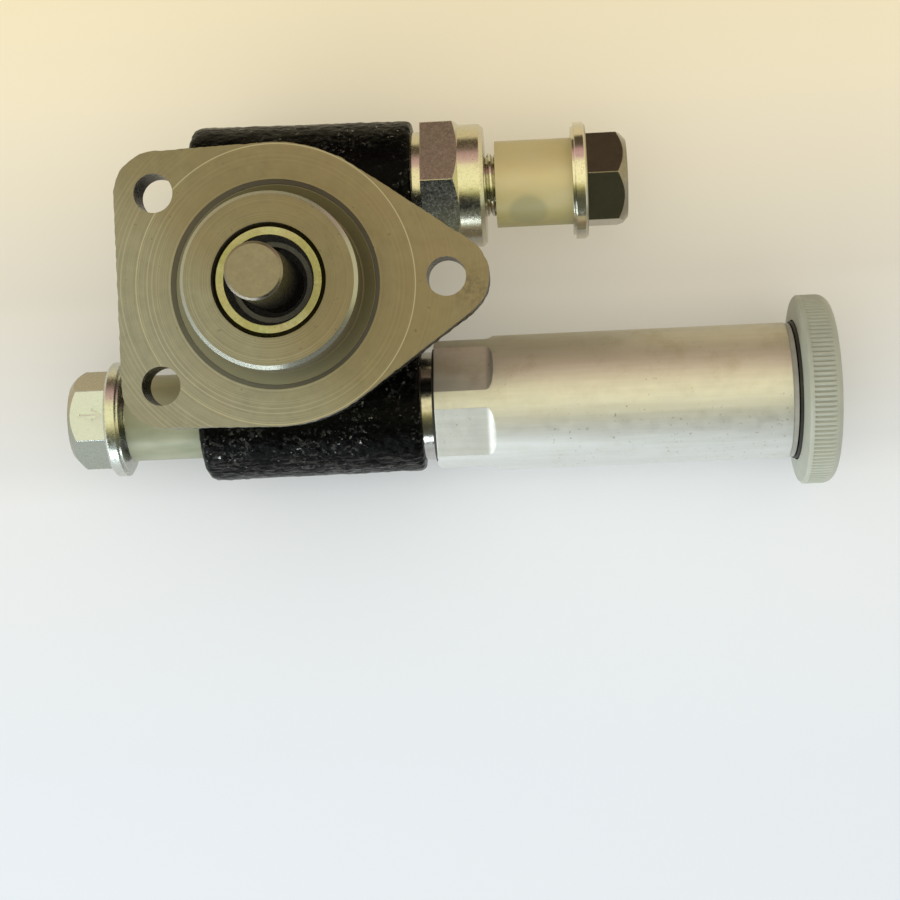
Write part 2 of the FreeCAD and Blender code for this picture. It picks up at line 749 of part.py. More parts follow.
def make_inlet():
    spacer(on_inlet("inlet_spacer"), "-barrel_left - spacer_len")
    shank = "spacer_len + inlet_slack + bolt_reach"
    hollow_bolt(on_inlet("inlet_bolt"), INLET_BOLT, "inlet_bolt_turn", -1, shank, "inlet_hole_turn")
    strainer = on_inlet("inlet_strainer")
    tip = minus("barrel_left") + " + bolt_reach"
    strainer.revolve([(tip, "strainer_rad - strainer_wall"), (tip, "strainer_rim_rad"),
                      (tip + " - strainer_rim", "strainer_rim_rad"),
                      (tip + " - strainer_rim", "strainer_rad"),
                      (tip + " - strainer_len", "strainer_rad"), (tip + " - strainer_len", "0"),
                      (tip + " - strainer_len + strainer_wall", "0"),
                      (tip + " - strainer_len + strainer_wall", "strainer_rad - strainer_wall")])


# Hand primer: sealing ring, barrel, cap, piston, rod and knob.

def make_primer_barrel():
    metal = on_inlet("primer_ring")
    metal.revolve([("barrel_right", "holder_thread_rad"), ("barrel_right", "ring_rad"),
                   ("barrel_right + ring_thick", "ring_rad"),
                   ("barrel_right + ring_thick", "holder_thread_rad")])
    seal = on_inlet("primer_gasket")
    seal.revolve([("barrel_right + ring_thick", "holder_thread_rad"),
                  ("barrel_right + ring_thick", "ring_rad + seal_thick"),
                  (PRIMER_START, "ring_rad + seal_thick"), (PRIMER_START, "holder_thread_rad")])
    barrel = on_inlet("primer_barrel")
    thread = "holder_thread_rad - thread_gap"
    inside = PRIMER_START + " + primer_wall"
    barrel.revolve([(PRIMER_NOSE, "valve_pocket_rad"), (PRIMER_NOSE, "primer_nose_rad"),
                    (PRIMER_STEM, "primer_nose_rad"), (PRIMER_STEM, thread),
                    (PRIMER_START, thread), (PRIMER_START, "primer_rad"), (PRIMER_END, "primer_rad"),
                    (PRIMER_END, "primer_bore_rad"), (inside, "primer_bore_rad"),
                    (inside, "primer_port_rad"), (PRIMER_NOSE + " + holder_pocket", "primer_port_rad"),
                    (PRIMER_NOSE + " + holder_pocket", "valve_pocket_rad")])
    flat = barrel.sketch("XY_Plane", turn="primer_turn")
    run_out(flat, PRIMER_START, PRIMER_START + " + flats_len", "primer_flats / 2", "ramp_rad")
    barrel.repeat(barrel.feature("Pocket", flat, Length="2 * primer_flats", Midplane=True), "6")


def make_primer_cap():
    cap = on_inlet("primer_cap")
    inner = PRIMER_END + " - cap_len"
    cap.revolve([(inner, "primer_rod_rad + fit_gap"), (inner, "primer_bore_rad - thread_gap"),
                 (PRIMER_END, "primer_bore_rad - thread_gap"), (PRIMER_END, "cap_rad"),
                 (CAP_FACE, "cap_rad"), (CAP_FACE, "cap_thread_rad"),
                 (inner + " + cap_floor", "cap_thread_rad"),
                 (inner + " + cap_floor", "primer_rod_rad + fit_gap")])


def make_primer_piston():
    piston = on_inlet("primer_piston")
    outer = "primer_bore_rad - loose_gap"
    start = PISTON_X
    stop = PISTON_X + " + primer_piston_len"
    groove = start + " + 0.5 * (primer_piston_len - primer_seal_width)"
    pocket = stop + " - rod_button - 2 * loose_gap"
    piston.revolve([(start, "0"), (start, outer), (groove, outer),
                    (groove, outer + " - primer_seal_depth"),
                    (groove + " + primer_seal_width", outer + " - primer_seal_depth"),
                    (groove + " + primer_seal_width", outer), (stop, outer),
                    (stop, "rod_button_rad + fit_gap"), (pocket, "rod_button_rad + fit_gap"),
                    (pocket, "0")])
    seal = on_inlet("primer_seal")
    seal.revolve([(groove, outer + " - primer_seal_depth"),
                  (groove + " + primer_seal_width", outer + " - primer_seal_depth"),
                  (groove + " + primer_seal_width", "primer_bore_rad - fit_gap"),
                  (groove, "primer_bore_rad - fit_gap")])
    return pocket


def make_knob(pocket):
    rod = on_inlet("primer_rod")
    button = pocket + " + loose_gap"
    rod.revolve([(button, "0"), (button, "rod_button_rad"), (button + " + rod_button", "rod_button_rad"),
                 (button + " + rod_button", "primer_rod_rad"),
                 (KNOB_FLOOR + " - stud_len", "primer_rod_rad"),
                 (KNOB_FLOOR + " - stud_len", "cap_thread_rad - thread_gap"),
                 (KNOB_FLOOR, "cap_thread_rad - thread_gap"), (KNOB_FLOOR, "0")])

    gasket = on_inlet("knob_gasket")
    gasket.revolve([(CAP_FACE + " + loose_gap", "knob_gasket_in"),
                    (CAP_FACE + " + loose_gap", "knob_recess_rad - loose_gap"),
                    (KNOB_FLOOR, "knob_recess_rad - loose_gap"), (KNOB_FLOOR, "knob_gasket_in")])

    knob = on_inlet("primer_knob")
    left = KNOB_FACE + " + knob_face_set"
    right = KNOB_FACE + " + knob_thick"
    knob.revolve([(KNOB_FACE, "knob_recess_rad"), (left, "knob_rad - knob_bevel"),
                  (left + " + knob_bevel", "knob_rad"), (right, "knob_rad"), (right, "0"),
                  (KNOB_FLOOR, "0"), (KNOB_FLOOR, "knob_recess_rad")])
    doc.recompute()
    crown = knob.body.Shape.BoundBox.XMax

    def outer_rim(edge):
        return edge.BoundBox.XMin > crown - NEAR

    knob.dress("Fillet", "knob_round", outer_rim)
    groove = knob.sketch("YZ_Plane", {"z": left + " + rib_start"})
    polygon(groove, [("knob_rad - rib_depth", "0"), ("knob_rad + rib_depth", "rib_width"),
                     ("knob_rad + rib_depth", "-rib_width")])
    knob.repeat(knob.feature("Pocket", groove, Length="rib_len", Reversed=True), "rib_count")


make_housing()
make_rod_parts()
make_plunger()
coil("piston_spring", "0", "0", "z", minus(PLUG_TIP) + " - rear_pocket",
     minus(PISTON_FOOT) + " + piston_recess", "spring_rad", "spring_wire", "spring_turns")
make_rear_plug()
make_valves()
make_outlet()
make_inlet()
make_primer_barrel()
make_primer_cap()
make_knob(make_primer_piston())

doc.recompute()
for item in doc.Objects:
    if "Invalid" in item.State or "Error" in item.State:
        raise ValueError("%s failed: %s" % (item.Label, item.State))
os.makedirs("parts", exist_ok=True)
for body in nodes:
    shape = body.Shape
    if shape.isNull() or not shape.isValid() or not shape.Solids:
        raise ValueError("%s has no valid solid" % body.Label)
    shape.exportStep(os.path.join("parts", body.Label + ".step"))
    box = shape.BoundBox
    print("%-20s solids %d volume %9.1f  x %7.2f %7.2f  y %7.2f %7.2f  z %7.2f %7.2f"
          % (body.Label, len(shape.Solids), shape.Volume, box.XMin, box.XMax,
             box.YMin, box.YMax, box.ZMin, box.ZMax))
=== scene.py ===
import json
import math

import bmesh
import bpy
import numpy as np
from mathutils import Matrix, Vector, noise


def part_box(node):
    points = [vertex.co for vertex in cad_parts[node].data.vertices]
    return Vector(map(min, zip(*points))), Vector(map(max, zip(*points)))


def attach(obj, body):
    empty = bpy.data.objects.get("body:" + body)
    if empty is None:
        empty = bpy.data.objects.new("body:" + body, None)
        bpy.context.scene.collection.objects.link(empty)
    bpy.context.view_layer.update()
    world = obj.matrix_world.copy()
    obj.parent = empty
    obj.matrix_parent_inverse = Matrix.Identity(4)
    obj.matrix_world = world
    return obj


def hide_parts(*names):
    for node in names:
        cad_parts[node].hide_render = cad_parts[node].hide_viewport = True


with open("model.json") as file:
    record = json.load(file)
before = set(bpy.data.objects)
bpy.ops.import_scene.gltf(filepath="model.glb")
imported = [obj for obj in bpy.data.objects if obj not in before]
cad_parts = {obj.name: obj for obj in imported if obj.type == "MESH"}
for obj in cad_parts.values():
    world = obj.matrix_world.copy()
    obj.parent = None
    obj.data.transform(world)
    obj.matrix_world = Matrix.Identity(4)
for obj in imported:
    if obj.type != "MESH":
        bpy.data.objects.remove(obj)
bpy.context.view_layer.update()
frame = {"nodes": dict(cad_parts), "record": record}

# The frame is in metres. Lengths below are in millimetres where a name or a comment says so.
MM = 0.001
nodes = frame["nodes"]
scene = bpy.context.scene


def middle(node):
    """The centre of a node's box."""
    low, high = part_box(node)
    return (low + high) / 2


# Places read from the frame: the two port axes, and the surface that the pump lies on.
record = frame["record"]
OUTLET = middle("outlet_washer")
INLET = middle("primer_ring")
FLOOR_Z = min(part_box(node)[0].z for node in nodes)
BARREL_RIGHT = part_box("outlet_washer")[0].x
BARREL_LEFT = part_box("inlet_spacer")[1].x
BOSS_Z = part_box("rear_gasket")[1].z
mounts = {mount["name"]: mount for mount in record["mounts"]}
NOSE_HOLE = Vector(mounts["nose_hole"]["pos_m"])
EAR_HOLES = Vector(mounts["ear_holes"]["pos_m"])
EAR_SPREAD = mounts["ear_holes"]["dims"]["spacing_y_mm"] / 2 * MM
# Where dirt has gathered beside the nose hole.
NOSE_STAIN = NOSE_HOLE + Vector((5.0, -2.6, 0.0)) * MM
FLANGE_HOLES = (NOSE_HOLE, EAR_HOLES + Vector((0, EAR_SPREAD, 0)), EAR_HOLES - Vector((0, EAR_SPREAD, 0)))

# Which body a part moves with, and which finish it is named for.
body_of = {node: body for body, names in record["behaviour"]["bodies"].items() for node in names}


# Camera, floor and light.

IMAGE_SIDE = 900.0
FOCAL_PIXELS = 1800.0
SENSOR = 36.0
# Where the picture shows the point that all vertical lines run to, and how far it is rolled.
PLUMB_POINT = (540.0, 447.0)
ROLL = math.radians(2.45)
CAMERA_PLACE = Vector((0.05207, -0.03522, 0.362))


def add_camera():
    half = IMAGE_SIDE / 2
    down = Vector(((PLUMB_POINT[0] - half) / FOCAL_PIXELS, (PLUMB_POINT[1] - half) / FOCAL_PIXELS, 1.0))
    up_axis = -down.normalized()
    x_axis = Vector((math.cos(ROLL), -math.sin(ROLL), 0.0))
    x_axis = (x_axis - x_axis.dot(up_axis) * up_axis).normalized()
    y_axis = up_axis.cross(x_axis)
    # Rows of this matrix are the picture's right, down and forward directions in the part's frame.
    view = Matrix((x_axis, y_axis, up_axis)).transposed()
    right, lower, forward = view[0], view[1], view[2]
    turn = Matrix((right, -lower, -forward)).transposed()
    data = bpy.data.cameras.new("camera")
    data.sensor_width = SENSOR
    data.lens = SENSOR * FOCAL_PIXELS / IMAGE_SIDE
    data.clip_start = 0.01
    camera = bpy.data.objects.new("camera", data)
    camera.matrix_world = Matrix.Translation(CAMERA_PLACE) @ turn.to_4x4()
    scene.collection.objects.link(camera)
    scene.camera = camera


# The room's tones from the inlet side over the ceiling to the outlet side: what metal mirrors,
# and the soft light that falls on everything.
ROOM_TONES = ((0.0, (0.066, 0.066, 0.036)), (0.16, (0.060, 0.060, 0.032)), (0.27, (0.15, 0.14, 0.05)),
              (0.345, (0.52, 0.47, 0.19)), (0.40, (0.93, 0.87, 0.50)), (0.55, (0.97, 0.90, 0.55)),
              (0.76, (0.90, 0.82, 0.50)), (0.81, (0.60, 0.39, 0.37)), (0.91, (0.50, 0.31, 0.29)),
              (0.955, (0.105, 0.080, 0.050)), (1.0, (0.060, 0.045, 0.025)))
ROOM_STRENGTH = 1.45
SOFT_TONES = ((0.0, (0.97, 1.0, 1.0)), (0.5, (0.78, 0.76, 0.70)), (1.0, (0.37, 0.29, 0.17)))
SOFT_STRENGTH = 1.2
# The soft light's strength at the horizon, and what the zenith adds to it.
HORIZON, ZENITH = 0.20, 1.35
# Name, place, target, width, height, power, colour and whether the metal shows it.
PUMP = (0.03, 0.0, -0.03)
LIGHTS = (("window", (-0.69, -1.02, 0.25), PUMP, 1.56, 0.30, 11.0, (0.85, 0.95, 1.0), True),)


def add_area_light(name, place, target, width, height, power, color, shown):
    data = bpy.data.lights.new(name, "AREA")
    data.shape = "RECTANGLE"
    data.size = width
    data.size_y = height
    data.energy = power
    data.color = color
    light = bpy.data.objects.new(name, data)
    light.visible_glossy = shown
    light.location = place
    light.rotation_euler = (Vector(target) - Vector(place)).to_track_quat("-Z", "Y").to_euler()
    scene.collection.objects.link(light)


class Finish:
    """A node material that is built step by step, with coordinates in millimetres."""

    def __init__(self, name, **settings):
        self.material = bpy.data.materials.new(name)
        self.material.use_nodes = True
        self.tree = self.material.node_tree
        self.shader = self.tree.nodes["Principled BSDF"]
        self.set(self.shader, **settings)
        where = self.add("ShaderNodeTexCoord")
        scale = self.add("ShaderNodeVectorMath", operation="SCALE")
        scale.inputs["Scale"].default_value = 1 / MM
        self.link(where.outputs["Object"], scale.inputs[0])
        self.place = scale.outputs[0]
        split = self.add("ShaderNodeSeparateXYZ")
        self.link(self.place, split.inputs[0])
        self.x, self.y, self.z = split.outputs

    def add(self, kind, **attributes):
        node = self.tree.nodes.new(kind)
        for key, setting in attributes.items():
            setattr(node, key, setting)
        return node

    def link(self, source, target):
        self.tree.links.new(source, target)

    def set(self, node, **settings):
        for key, setting in settings.items():
            socket = node.inputs[key.replace("_", " ")]
            if isinstance(setting, tuple) and len(setting) == 3 and socket.type == "RGBA":
                setting = (*setting, 1.0)
            socket.default_value = setting

    def feed(self, node, key, value):
        """Give a socket either a number or the output of another node."""
        if isinstance(value, bpy.types.NodeSocket):
            self.link(value, node.inputs[key])
        else:
            node.inputs[key].default_value = value

    def math(self, operation, first, second=0.0, third=0.0):
        node = self.add("ShaderNodeMath", operation=operation)
        for key, value in enumerate((first, second, third)):
            self.feed(node, key, value)
        return node.outputs[0]

    def radius(self, center, axis="z"):
        """Distance from an axis through center, in millimetres."""
        across = {"z": (self.x, self.y), "x": (self.y, self.z)}[axis]
        middle = {"z": (center[0], center[1]), "x": (center[1], center[2])}[axis]
        parts = [self.math("POWER", self.math("SUBTRACT", line, value / MM), 2.0)
                 for line, value in zip(across, middle)]
        return self.math("SQRT", self.math("ADD", *parts))

    def vector(self, x=0.0, y=0.0, z=0.0):
        node = self.add("ShaderNodeCombineXYZ")
        for key, value in enumerate((x, y, z)):
            self.feed(node, key, value)
        return node.outputs[0]

    def stretched(self, x, y, z):
        node = self.add("ShaderNodeVectorMath", operation="MULTIPLY")
        self.link(self.place, node.inputs[0])
        node.inputs[1].default_value = (x, y, z)
        return node.outputs[0]

    def noise(self, scale, detail=4.0, rough=0.55, place=None, distortion=0.0):
        """Noise with features about 1 / scale millimetres wide."""
        node = self.add("ShaderNodeTexNoise")
        self.set(node, Scale=scale, Detail=detail, Roughness=rough, Distortion=distortion)
        self.link(place or self.place, node.inputs["Vector"])
        return node.outputs["Fac"]

    def ramp(self, value, *stops, smooth=False):
        """Map a value through (position, grey or colour) stops."""
        node = self.add("ShaderNodeValToRGB")
        if smooth:
            node.color_ramp.interpolation = "EASE"
        elements = node.color_ramp.elements
        while len(elements) < len(stops):
            elements.new(1.0)
        for element, (position, color) in zip(elements, stops):
            element.position = position
            color = color if isinstance(color, tuple) else (color, color, color)
            element.color = (*color, 1.0)
        self.link(value, node.inputs[0])
        return node.outputs[0]

    def mix(self, factor, first, second, blend="MIX"):
        node = self.add("ShaderNodeMix", data_type="RGBA", blend_type=blend)
        self.feed(node, "Factor", factor)
        for key, value in (("A", first), ("B", second)):
            socket = next(item for item in node.inputs if item.name == key and item.type == "RGBA")
            if isinstance(value, bpy.types.NodeSocket):
                self.link(value, socket)
            else:
                socket.default_value = (*value, 1.0)
        return next(item for item in node.outputs if item.type == "RGBA")

    def color(self, source):
        self.link(source, self.shader.inputs["Base Color"])

    def roughness(self, source):
        self.link(source, self.shader.inputs["Roughness"])

    def round_edges(self, radius):
        """Catch light on edges as if they were rounded by that many millimetres."""
        node = self.add("ShaderNodeBevel", samples=6)
        node.inputs["Radius"].default_value = radius * MM
        self.link(node.outputs[0], self.shader.inputs["Normal"])

    def bump(self, height, distance, strength=1.0):
        """Add relief: height from 0 to 1 stands for that distance in millimetres."""
        node = self.add("ShaderNodeBump")
        self.set(node, Strength=strength, Distance=distance * MM)
        self.link(height, node.inputs["Height"])
        target = self.shader.inputs["Normal"]
        if target.links:
            self.link(target.links[0].from_socket, node.inputs["Normal"])
        self.link(node.outputs[0], target)


def add_floor():
    """A sheet of pale paper, a little uneven."""
    side = 2.4
    steps = 24
    mesh = bpy.data.meshes.new("floor")
    grid = bmesh.new()
    bmesh.ops.create_grid(grid, x_segments=steps, y_segments=steps, size=side / 2)
    grid.to_mesh(mesh)
    grid.free()
    floor = bpy.data.objects.new("floor", mesh)
    floor.location = (0.03, 0.0, FLOOR_Z - 0.02 * MM)
    scene.collection.objects.link(floor)
    paper = Finish("paper", Roughness=0.75, Specular_IOR_Level=0.25, Emission_Strength=1.0)
    # Paper painted cooler towards the inlet side and warmer towards the outlet side, a painted light of a
    # cool window and a warm lamp. Towards the outlet side the paper also glows warm, a painted light that
    # softens the shade there.
    across = paper.math("MULTIPLY_ADD", paper.y, 1 / 220, 0.5)
    tone = paper.ramp(across, (0.0, (0.73, 0.78, 0.86)), (0.30, (0.77, 0.79, 0.82)),
                      (0.52, (0.48, 0.46, 0.42)), (0.75, (0.56, 0.50, 0.36)), (1.0, (0.58, 0.50, 0.30)))
    paper.color(tone)
    painted_glow = paper.ramp(across, (0.34, (0.0, 0.0, 0.0)), (0.50, (0.25, 0.23, 0.18)),
                         (0.72, (0.32, 0.29, 0.22)), (1.0, (0.32, 0.28, 0.18)))
    paper.link(painted_glow, paper.shader.inputs["Emission Color"])
    paper.bump(paper.noise(1.5, 5.0), 0.05, 0.25)
    mesh.materials.append(paper.material)


def room_ramp(tree, value, tones, strength):
    """A background that changes across the room."""
    ramp = tree.nodes.new("ShaderNodeValToRGB")
    elements = ramp.color_ramp.elements
    while len(elements) < len(tones):
        elements.new(1.0)
    for element, (position, color) in zip(elements, tones):
        element.position = position
        element.color = (*color, 1.0)
    tree.links.new(value, ramp.inputs[0])
    background = tree.nodes.new("ShaderNodeBackground")
    tree.links.new(ramp.outputs[0], background.inputs["Color"])
    background.inputs["Strength"].default_value = strength
    return background.outputs[0]


def add_light():
    """Soft light from the whole room, a low window beyond the inlet side and a room that metal mirrors."""
    world = bpy.data.worlds.new("room")
    scene.world = world
    world.use_nodes = True
    tree = world.node_tree
    where = tree.nodes.new("ShaderNodeTexCoord")
    split = tree.nodes.new("ShaderNodeSeparateXYZ")
    tree.links.new(where.outputs["Generated"], split.inputs[0])
    # From the inlet side at 0, over the ceiling at 0.5, to the outlet side at 1.
    shift = tree.nodes.new("ShaderNodeMath")
    shift.operation = "MULTIPLY_ADD"
    shift.inputs[1].default_value = 0.5
    shift.inputs[2].default_value = 0.5
    tree.links.new(split.outputs[1], shift.inputs[0])
    path = tree.nodes.new("ShaderNodeLightPath")
    choice = tree.nodes.new("ShaderNodeMixShader")
    tree.links.new(path.outputs["Is Glossy Ray"], choice.inputs[0])
    soft = room_ramp(tree, shift.outputs[0], SOFT_TONES, SOFT_STRENGTH)
    rise = tree.nodes.new("ShaderNodeMath")
    rise.operation = "MULTIPLY_ADD"
    rise.inputs[1].default_value = SOFT_STRENGTH * ZENITH
    rise.inputs[2].default_value = SOFT_STRENGTH * HORIZON
    above = tree.nodes.new("ShaderNodeMath")
    above.operation = "MAXIMUM"
    above.inputs[1].default_value = 0.1
    tree.links.new(split.outputs[2], above.inputs[0])
    tree.links.new(above.outputs[0], rise.inputs[0])
    tree.links.new(rise.outputs[0], soft.node.inputs["Strength"])
    tree.links.new(soft, choice.inputs[1])
    tree.links.new(room_ramp(tree, shift.outputs[0], ROOM_TONES, ROOM_STRENGTH), choice.inputs[2])
    tree.links.new(choice.outputs[0], tree.nodes["World Output"].inputs["Surface"])
    for light in LIGHTS:
        add_area_light(*light)


# The inlet bolt's face with the arrow: its distance from the axis, in millimetres, and its tilt.
ARROW_FACE = 9.5
ARROW_TILT = math.radians(5)

# Places in millimetres where a finish changes: the scribed circle's radius, the height where the pilot's
# bevelled rim starts, and where the two bolts' hexagons start.
SCRIBED_CIRCLE = 28.45
PILOT_RIM = 8.5
OUTLET_HEXAGON = 64.3
INLET_HEXAGON = -42.8
# A ramp's tones stop at 1, so the iron's tones are kept low in it and raised afterwards.
IRON_GAIN = (1.45, 1.45, 1.45)

# Finishes, one function for each.

def machined_iron():
    """Turned cast iron: rings round the pilot's axis, a scribed circle, spots and stains."""
    finish = Finish("machined_iron", Metallic=0.75, Specular_IOR_Level=0.4)
    radius = finish.radius((0.0, 0.0, 0.0))
    rings = finish.noise(1.0, 3.0, 0.7, finish.vector(finish.math("MULTIPLY", radius, 2.2)))
    fine = finish.noise(1.0, 2.0, 0.6, finish.vector(finish.math("MULTIPLY", radius, 6.0)))
    mottle = finish.noise(0.35, 6.0, 0.65)
    base = finish.mix(finish.ramp(mottle, (0.3, 0.0), (0.7, 1.0)),
                      (0.195, 0.178, 0.130), (0.245, 0.226, 0.162))
    warm = finish.ramp(finish.noise(0.05, 3.0, 0.5, finish.stretched(1.0, 1.0, 0.2)),
                       (0.40, 0.0), (0.62, 0.6))
    base = finish.mix(warm, base, (0.235, 0.200, 0.140))
    # Painted highlight: the turning marks are painted as light lines, and shown with their dark lines,
    # mostly on the side towards the window; they fade away from it.
    corner = finish.math("MULTIPLY_ADD", finish.math("ADD", finish.x, finish.y), -0.012, 0.40)
    patchy = finish.math("MULTIPLY_ADD", finish.noise(0.06, 3.0, 0.5), 0.8,
                         finish.math("SUBTRACT", corner, 0.4))
    marks_toward_window = finish.ramp(patchy, (0.25, 0.25), (0.75, 1.0))
    painted_ring_highlights = finish.math("MULTIPLY", marks_toward_window, finish.ramp(rings, (0.50, 0.0), (0.70, 0.85)))
    base = finish.mix(painted_ring_highlights, base, (0.40, 0.375, 0.29))
    dark_lines = finish.math("MULTIPLY", marks_toward_window, finish.ramp(fine, (0.30, 0.5), (0.46, 0.0)))
    base = finish.mix(dark_lines, base, (0.125, 0.118, 0.088))
    spots = finish.ramp(finish.noise(0.7, 2.0, 0.5), (0.69, 0.0), (0.77, 0.5))
    base = finish.mix(spots, base, (0.09, 0.08, 0.06))
    # Painted shade: the relief groove round the pilot is painted darker, darkest on the side away from the
    # window. Dirt has gathered beside the nose hole.
    out = finish.math("DIVIDE", radius, 30.0)
    toward_window = finish.math("MULTIPLY_ADD", finish.math("ADD", finish.x, finish.y), -0.0125, 0.5)
    # Painted light: the iron is painted cooler and brighter towards the window, and warmer away from it.
    painted_window_light = finish.ramp(toward_window, (0.0, (0.66, 0.60, 0.52)), (0.35, (0.61, 0.58, 0.50)),
                        (0.55, (0.63, 0.61, 0.55)), (0.72, (0.73, 0.77, 0.83)), (1.0, (0.77, 0.83, 0.98)))
    base = finish.mix(1.0, base, painted_window_light, "MULTIPLY")
    base = finish.mix(1.0, base, IRON_GAIN, "MULTIPLY")
    shade = finish.ramp(toward_window, (0.25, (0.045, 0.040, 0.020)), (0.5, (0.085, 0.085, 0.060)),
                        (0.75, (0.17, 0.175, 0.145)))
    base = finish.mix(finish.ramp(out, (0.590, 0.0), (0.605, 0.8), (0.672, 0.8), (0.680, 0.0)), base, shade)
    slope = finish.ramp(out, (0.672, 0.0), (0.682, 0.8), (0.704, 0.8), (0.712, 0.0))
    base = finish.mix(slope, base, (0.36, 0.34, 0.27))
    # The pilot's leading edge is polished smoother, and painted lighter as a painted highlight.
    rim = finish.ramp(finish.math("SUBTRACT", finish.z, PILOT_RIM),
                      (0.06, 0.0), (0.12, 1.0), (0.84, 1.0), (0.88, 0.0))
    base = finish.mix(rim, base, (0.34, 0.34, 0.29))
    near_nose = finish.ramp(finish.math("DIVIDE", finish.radius(NOSE_STAIN), 10.0), (0.1, 0.5), (0.55, 0.0))
    dirt = finish.math("MULTIPLY", near_nose,
                       finish.ramp(finish.noise(0.8, 4.0, 0.6), (0.42, 0.0), (0.6, 1.0)))
    base = finish.mix(dirt, base, (0.07, 0.06, 0.04))
    scribed = finish.math("ABSOLUTE", finish.math("SUBTRACT", radius, SCRIBED_CIRCLE))
    base = finish.mix(finish.ramp(scribed, (0.05, 0.55), (0.17, 0.0)), base, (0.50, 0.47, 0.36))
    finish.color(base)
    finish.roughness(finish.mix(rim, finish.ramp(fine, (0.3, 0.36), (0.7, 0.52)), (0.26, 0.26, 0.26)))
    finish.bump(rings, 0.03, 0.7)
    finish.bump(fine, 0.012, 0.6)
    return finish.material


def cast_paint():
    """Glossy black paint over rough cast iron: metallic flecks as painted glints, painted reflection along
    the barrels' sides, and bare chips along the flange's edge.
    """
    finish = Finish("black_paint", Specular_IOR_Level=0.035)
    grain = finish.noise(1.1, 5.0, 0.6)
    paint = finish.mix(finish.ramp(grain, (0.4, 0.0), (0.7, 1.0)),
                       (0.0010, 0.0010, 0.0010), (0.003, 0.003, 0.0025))
    edge = finish.ramp(finish.math("MULTIPLY_ADD", finish.z, 0.25, 1.0), (0.25, 0.0), (0.80, 0.85))
    chips = finish.ramp(finish.noise(0.75, 5.0, 0.65), (0.52, 0.0), (0.58, 1.0))
    paint = finish.mix(finish.math("MULTIPLY", edge, chips), paint, (0.17, 0.16, 0.13))
    # Metallic flecks, gathered in groups, stand in for glints of light on the paint.
    grouped = finish.ramp(finish.noise(0.13, 2.0, 0.5), (0.46, 0.05), (0.60, 1.0))
    bright = finish.math("MULTIPLY", grouped,
                         finish.ramp(finish.noise(1.0, 3.0, 0.6), (0.64, 0.0), (0.70, 0.8)))
    broken = finish.noise(0.85, 3.0, 0.6, finish.stretched(1.0, -1.0, 1.0))
    dim = finish.math("MULTIPLY", grouped, finish.ramp(broken, (0.54, 0.0), (0.64, 0.10)))
    # Painted reflection: along the barrels' outer sides, long metallic streaks stand in for the light that
    # the paint mirrors there.
    side = finish.ramp(finish.math("DIVIDE", finish.math("ABSOLUTE", finish.y), 100.0),
                       (0.345, 0.0), (0.375, 1.0))
    wavy = finish.noise(1.0, 3.0, 0.6, finish.stretched(0.35, 1.5, 1.5))
    streaks = finish.math("MULTIPLY", side, finish.ramp(wavy, (0.52, 0.0), (0.64, 0.15)))
    glints = finish.math("MAXIMUM", finish.math("MAXIMUM", bright, dim), streaks)
    finish.color(finish.mix(glints, paint, (0.34, 0.33, 0.30)))
    finish.link(glints, finish.shader.inputs["Metallic"])
    finish.roughness(finish.ramp(finish.noise(0.8, 4.0), (0.3, 0.12), (0.7, 0.26)))
    finish.bump(finish.noise(1.6, 3.0, 0.55), 0.30, 0.5)
    finish.bump(finish.noise(3.5, 3.0, 0.5), 0.06, 0.5)
    return finish.material


def zinc(name, tint, rough=0.20, axis=OUTLET, corner=0.28, painted_light_and_scratches=None):
    """Zinc plate: mirror-like, with a faint play of pink and green, fine pits and light along its edges."""
    finish = Finish(name, Metallic=1.0)
    patch = finish.noise(0.12, 3.0, 0.5)
    base = finish.mix(finish.ramp(patch, (0.42, 0.0), (0.68, 0.25)), tint, (0.62, 0.50, 0.46))
    green = finish.noise(0.16, 2.0, 0.5, finish.stretched(1.0, -1.0, 1.0))
    base = finish.mix(finish.ramp(green, (0.45, 0.0), (0.7, 0.25)), base, (0.50, 0.58, 0.43))
    stain = finish.ramp(finish.noise(0.8, 6.0, 0.7), (0.55, 0.0), (0.75, 0.4))
    base = finish.mix(stain, base, (0.28, 0.25, 0.18))
    pits = finish.ramp(finish.noise(2.2, 4.0, 0.7), (0.56, 0.0), (0.72, 0.6))
    base = finish.mix(pits, base, (0.22, 0.20, 0.15))
    # A bolt's hexagon can be given painted light and shade here.
    if painted_light_and_scratches is not None:
        base = painted_light_and_scratches(finish, base)
    finish.color(base)
    finish.roughness(finish.ramp(finish.noise(1.6, 5.0, 0.7), (0.3, rough * 0.7), (0.75, rough * 1.7)))
    finish.round_edges(corner)
    radius = finish.radius(axis, "x")
    lines = finish.vector(finish.math("MULTIPLY", finish.x, 5.0), finish.math("MULTIPLY", radius, 5.0))
    finish.bump(finish.noise(1.0, 2.0, 0.6, lines), 0.004, 0.5)
    finish.bump(finish.noise(0.9, 5.0, 0.65), 0.03, 0.35)
    return finish.material


def scratches_in_shade(finish):
    """Faint scratches that break up a face's painted shade."""
    return finish.ramp(finish.noise(1.4, 5.0, 0.7), (0.56, 1.0), (0.66, 0.75))


def outlet_hexagon_painted_shade(finish, base):
    """Painted shade: the outlet bolt's hexagon is painted darker, broken by faint scratches."""
    hexagon = finish.ramp(finish.math("SUBTRACT", finish.x, OUTLET_HEXAGON), (0.0, 0.0), (0.5, 0.76))
    return finish.mix(finish.math("MULTIPLY", hexagon, scratches_in_shade(finish)), base, (0.17, 0.15, 0.105))


